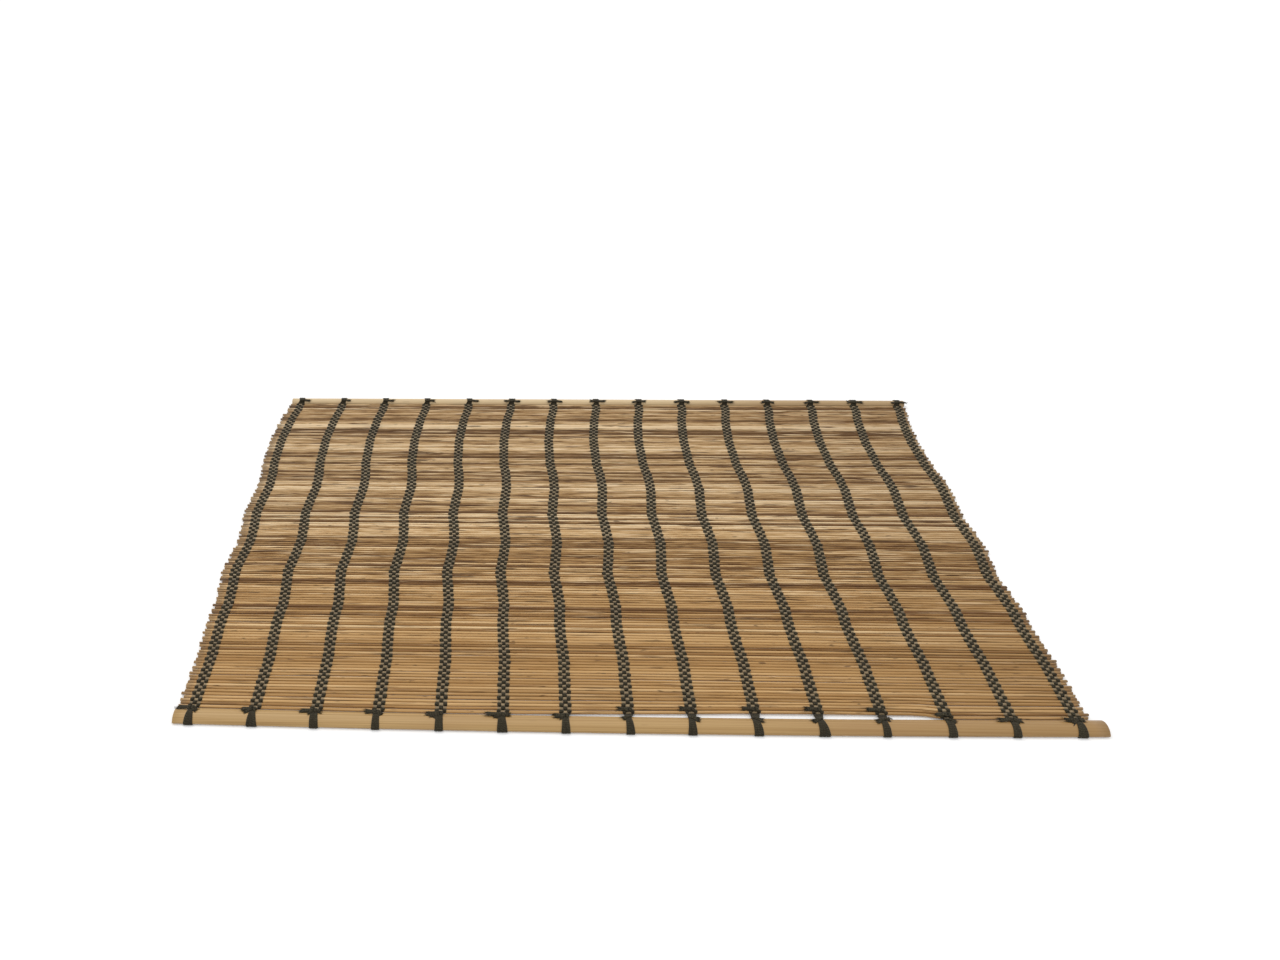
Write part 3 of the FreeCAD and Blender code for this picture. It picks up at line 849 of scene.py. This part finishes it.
class CordEnd:
    """One cord end, made as for the front edge and turned about for the rear one."""

    def __init__(self, shape, chance, origin, facing, knot):
        self.shape = shape
        self.chance = chance
        self.origin = origin
        self.facing = np.array([facing, facing, 1.0])
        self.knot = np.array([chance.uniform(-KNOT_SLIP, KNOT_SLIP), *knot])

    def strand(self, path, wide, half_width, half_thickness, sides=LOOP_SIDES):
        placed = np.asarray(path) * self.facing + self.origin
        rings = swept(placed, wide, half_width, half_thickness, sides)
        self.shape.tube(rings, tone=self.chance.uniform(0.0, 1.0))

    def loop(self, width):
        """Three yarns round the batten, gathered at the inner edge and spread at the outer one."""
        outline = batten_outline(width, YARN_HALF_THICKNESS + LOOP_EASE)
        closed = np.vstack([outline, outline[:1]])
        lengths = np.concatenate([[0.0], np.cumsum(np.linalg.norm(np.diff(closed, axis=0), axis=1))])
        wanted = np.linspace(0.0, lengths[-1], LOOP_STEPS)
        y = np.interp(wanted, lengths, closed[:, 0])
        z = np.interp(wanted, lengths, closed[:, 1])
        slant = self.chance.uniform(*LOOP_SLANTS)
        flare = self.chance.uniform(*LOOP_FLARE_SHARES)
        gathered = self.chance.uniform(*LOOP_GATHER_SHARES)
        for column in YARN_COLUMNS:
            spread = column * YARN_SPACING * (gathered - flare * y * 2 / width)
            x = self.knot[0] + slant * (y - self.knot[1]) / width + spread
            x = x + gentle(self.chance, wanted, Wave(LOOP_WANDER, lengths[-1]))
            self.strand(np.column_stack([x, y, z]), SIDEWAYS, LOOP_HALF_WIDTH, YARN_HALF_THICKNESS)

    def neck(self, shoulder, length, sideways):
        """Three yarns from the hinge line, where they meet the band, up over the batten's shoulder."""
        thickness = np.full(NECK_STEPS, YARN_HALF_THICKNESS)
        thickness[0] = HINGE_HALF_THICKNESS
        depths = (
            shoulder + length - HINGE_CLEARANCE,
            shoulder + length * NECK_BEND_SHARE,
            shoulder - NECK_CREST,
            shoulder - NECK_REACH,
        )
        for column in YARN_COLUMNS:
            offset = column * YARN_SPACING
            sides = [sideways * to_band + offset * apart for to_band, apart in NECK_SHARES]
            path = curve_through(np.column_stack([sides, depths, NECK_LEVELS]), NECK_STEPS)
            self.strand(path, SIDEWAYS, LOOP_HALF_WIDTH, thickness)

    def coils(self):
        """Two coils of cord drawn tight, which make the lump of the knot."""
        turns = np.linspace(0.0, 2 * math.pi * COIL_TURNS, COIL_STEPS)
        sway = COIL_SIDE_SHARE + COIL_SWAY_SHARE * np.sin(turns * COIL_SWAY_RATE)
        for side in (-1, 1):
            reach = side * self.chance.uniform(*COIL_REACHES)
            coil = np.column_stack([reach * sway, COIL_DEPTH * np.cos(turns), COIL_RISE * np.sin(turns)])
            self.strand(coil + self.knot, SIDEWAYS, COIL_HALF_WIDTH, COIL_HALF_THICKNESS)

    def tail(self, heading, length):
        """A cut end: strands that leave the knot together and open into loose fibres."""
        heading = np.array([*heading, 0.0]) / np.linalg.norm(heading)
        beside = np.array([-heading[1], heading[0], 0.0])
        lift = np.array([0.0, 0.0, TAIL_LIFT])
        near, further, far = TAIL_SPREAD_SHARES
        for strand in range(TAIL_STRANDS):
            spread = beside * (strand - (TAIL_STRANDS - 1) / 2) * TAIL_SPREAD
            drop = np.array([0.0, 0.0, self.chance.uniform(*TAIL_DROPS)])
            reach = length * self.chance.uniform(*TAIL_LENGTH_SHARES)
            points = [
                self.knot,
                self.knot + heading * TAIL_START + spread * near + lift,
                self.knot + heading * (TAIL_START + reach / 2) + spread * further + drop * TAIL_DROP_SHARE,
                self.knot + heading * (TAIL_START + reach) + spread * far + drop,
            ]
            path = curve_through(points, TAIL_STEPS)
            width = STRAND_HALF_WIDTH * np.linspace(*STRAND_TAPER_SHARES, TAIL_STEPS)
            self.strand(path, beside, width, width * STRAND_FLAT_SHARE)
            self.fray(path[-1], path[-1] - path[-2])

    def fray(self, tip, heading):
        """Loose fibres at the tip of a strand."""
        heading = heading / np.linalg.norm(heading)
        for _ in range(FRAY_FIBRES):
            loose = heading + self.chance.normal(0.0, FIBRE_SPREAD, 3) * FIBRE_SPREAD_SHARES
            start = tip - heading * FIBRE_ROOT + self.chance.normal(0.0, FIBRE_SCATTER, 3)
            stop = start + heading * FIBRE_STRAIGHT + loose * self.chance.uniform(*FIBRE_LENGTHS)
            fibre = np.array([start, (start + stop) / 2 + heading * FIBRE_BEND, stop])
            self.strand(fibre, FIBRE_WIDE, FIBRE_HALF_WIDTHS, FIBRE_HALF_WIDTHS, sides=FIBRE_SIDES)


def knot_places(node):
    """The middle of each loop along the batten, from the solids: the loops' feet lie on the table."""
    points = points_of(node)
    feet = np.sort(points[points[:, 2] < FOOT_LEVEL][:, 0])
    breaks = np.flatnonzero(np.diff(feet) > BAND_SPACING / 2)
    return [(part.min() + part.max()) / 2 for part in np.split(feet, breaks + 1)]


def drawn_tail(chance, tail_range):
    """Heading and length of a tail. The slant is drawn first."""
    heading = (tail_range.side, chance.uniform(*tail_range.slants))
    return heading, chance.uniform(*tail_range.lengths)


def tie_slit_knots(shape, first_y, top):
    """The knots at the slit, which lie on the first reeds, each with a tail to the left."""
    chance = np.random.default_rng(SLIT_KNOT_SEED)
    for number in SLIT_KNOTS:
        across = band_at(number, first_y)
        origin = np.array([across, first_y + lean_at(across, first_y), top])
        end = CordEnd(shape, chance, origin, 1, (SLIT_KNOT_SETBACK, SLIT_KNOT_RISE))
        end.coils()
        end.tail(*drawn_tail(chance, SLIT_TAIL))


def front_tails(chance, number):
    """A short tail, a long one if the knot is on the batten, and on some knots one to the right."""
    sides = [-SHORT_TAIL_SIDE, -SHORT_TAIL_SIDE, SHORT_TAIL_SIDE]
    side = -SHORT_TAIL_SIDE if number == BUNCHED_KNOT else chance.choice(sides)
    tails = [((side, SHORT_TAIL_SLANT), chance.uniform(*SHORT_TAIL_LENGTHS))]
    if number not in SLIT_KNOTS:
        tails.append(drawn_tail(chance, LONG_TAIL))
    if number == BUNCHED_KNOT:
        tails.extend(BUNCHED_TAILS)
    if number in RIGHT_TAIL_KNOTS:
        tails.append(drawn_tail(chance, RIGHT_TAIL))
    return tails


def rear_tails(chance, number):
    """A tail to the right, as seen from the front, and one to the left too past the first few knots."""
    tails = [drawn_tail(chance, REAR_TAIL)]
    if number >= FIRST_TWO_SIDED_KNOT:
        tails.append(drawn_tail(chance, OTHER_REAR_TAIL))
    return tails


def build_knots(edge, facing, width, bow, tails_of, seed):
    """The cord ends of one edge as one piece, without the slit's knots, which the first group carries."""
    node = f"{edge}_knots"
    low, high = box_of(f"{edge}_batten")
    outer = low[1] if facing > 0 else high[1]
    chance = np.random.default_rng(seed)
    shape = Shape()
    for number, across in enumerate(knot_places(node)):
        line = outer + facing * width / 2 + bow_at(across, bow)
        length = BATTEN_GAP
        if facing > 0:
            length += bow - bow_at(across, bow) - closing_at(across)
        hinge = line + facing * (width / 2 + length)
        knot = (width / 2 - KNOT_INSET, BATTEN_HEIGHT + KNOT_RISE)
        end = CordEnd(shape, chance, np.array([across, line, low[2]]), facing, knot)
        end.loop(width)
        end.neck(width / 2, length, facing * (band_at(number, hinge) - across))
        if facing < 0 or number not in SLIT_KNOTS:
            end.coils()
        for heading, reach in tails_of(chance, number):
            end.tail(heading, reach)
    shape.piece(f"tied_{node}", yarn_surface, node, f"{edge}_edge")


build_batten(
    "front_batten", "front_edge", FRONT_BATTEN_WIDTH, BATTEN_BOW, FRONT_BATTEN_TONE, FRONT_BATTEN_SEED
)
build_batten("rear_batten", "rear_edge", REAR_BATTEN_WIDTH, 0.0, REAR_BATTEN_TONE, REAR_BATTEN_SEED)
for group in range(GROUPS):
    build_group(group)
build_knots("front", 1, FRONT_BATTEN_WIDTH, BATTEN_BOW, front_tails, FRONT_KNOT_SEED)
build_knots("rear", -1, REAR_BATTEN_WIDTH, 0.0, rear_tails, REAR_KNOT_SEED)


# White table, light and camera. The table's size and the camera's nearest distance are in metres.
TABLE_SIZE = 8.0
TABLE_ROUGHNESS = 0.9
BOUNCE_SHADE = 0.8
SEEN_GLOW = 0.1
WORLD_STRENGTH = 0.74
SUN_STRENGTH = 0.95
SUN_SPREAD = 60.0
SUN_HEADING = Vector((0.35, -0.45, -1.0))
SENSOR_WIDTH = 36.0
CAMERA_NEAREST = 0.01
CAMERA_LENS = 27.0
CAMERA_PLACE = (-59.0, -448.0, 375.0)
CAMERA_TURN = 2.21
CAMERA_PITCH = 36.76
CAMERA_ROLL = -0.95
CAMERA_SHIFT = 0.1222
RIGHT_ANGLE = 90.0


def seen_share(tree):
    """One where a ray comes from the camera, a mirror or a lens, and zero for light that bounces."""
    path = tree.nodes.new("ShaderNodeLightPath")
    total = path.outputs["Is Camera Ray"]
    for name in ("Is Glossy Ray", "Is Transmission Ray"):
        larger = tree.nodes.new("ShaderNodeMath")
        larger.operation = "MAXIMUM"
        tree.links.new(total, larger.inputs[0])
        tree.links.new(path.outputs[name], larger.inputs[1])
        total = larger.outputs["Value"]
    return total


def build_table():
    bpy.ops.mesh.primitive_plane_add(size=TABLE_SIZE)
    table = bpy.context.object
    table.name = "white_table"
    surface = Surface("white_table")
    dull = (BOUNCE_SHADE, BOUNCE_SHADE, BOUNCE_SHADE, 1.0)
    seen = seen_share(surface.tree)
    base = surface.mix(seen, dull, WHITE)
    surface.shader.inputs["Emission Color"].default_value = WHITE
    surface.put(surface.shader.inputs["Emission Strength"], surface.math("MULTIPLY", seen, SEEN_GLOW))
    surface.shader.inputs["Specular IOR Level"].default_value = 0.0
    table.data.materials.append(surface.finish(base, TABLE_ROUGHNESS))


def build_light():
    world = bpy.data.worlds.new("white_room")
    bpy.context.scene.world = world
    world.use_nodes = True
    background = world.node_tree.nodes["Background"]
    background.inputs["Color"].default_value = WHITE
    level = world.node_tree.nodes.new("ShaderNodeMapRange")
    world.node_tree.links.new(seen_share(world.node_tree), level.inputs["Value"])
    level.inputs["To Min"].default_value = WORLD_STRENGTH
    level.inputs["To Max"].default_value = 1.0
    world.node_tree.links.new(level.outputs["Result"], background.inputs["Strength"])
    lamp = bpy.data.lights.new("soft_daylight", "SUN")
    lamp.energy = SUN_STRENGTH
    lamp.angle = math.radians(SUN_SPREAD)
    sun = bpy.data.objects.new("soft_daylight", lamp)
    bpy.context.scene.collection.objects.link(sun)
    sun.rotation_euler = SUN_HEADING.to_track_quat("-Z", "Y").to_euler()


def build_camera():
    lens = bpy.data.cameras.new("camera")
    lens.sensor_width = SENSOR_WIDTH
    lens.lens = CAMERA_LENS
    lens.shift_x = CAMERA_SHIFT
    lens.clip_start = CAMERA_NEAREST
    camera = bpy.data.objects.new("camera", lens)
    bpy.context.scene.collection.objects.link(camera)
    turn = Matrix.Rotation(math.radians(CAMERA_TURN), 4, "Z")
    down = Matrix.Rotation(math.radians(RIGHT_ANGLE - CAMERA_PITCH), 4, "X")
    roll = Matrix.Rotation(math.radians(CAMERA_ROLL), 4, "Z")
    camera.matrix_world = Matrix.Translation(Vector(CAMERA_PLACE) * MM) @ turn @ down @ roll
    bpy.context.scene.camera = camera


build_table()
build_light()
build_camera()
bpy.context.scene.view_settings.view_transform = "Standard"

bpy.context.view_layer.update()
